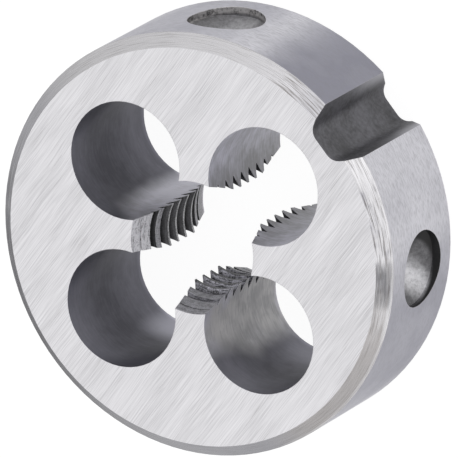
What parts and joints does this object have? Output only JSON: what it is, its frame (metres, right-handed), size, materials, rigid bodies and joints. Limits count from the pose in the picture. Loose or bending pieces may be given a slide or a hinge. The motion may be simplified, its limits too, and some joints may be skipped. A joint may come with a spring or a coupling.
{
  "type": "threading die",
  "caption": "Round closed threading die with cutting lands between chip holes, a V notch and screw dimples in its rim.",
  "frame": {"origin": "thread axis at the back face", "axes": "+Z along the thread axis, out of the front face; cutting lands on +X, +Y, -X and -Y"},
  "size_m": [0.02, 0.02, 0.007],
  "materials": {
    "tool_steel": "hardened tool steel, faces ground and brushed, rim satin, holes and notch dark"
  },
  "bodies": {
    "root": {"threading_die": "tool_steel"}
  },
  "joints": []
}
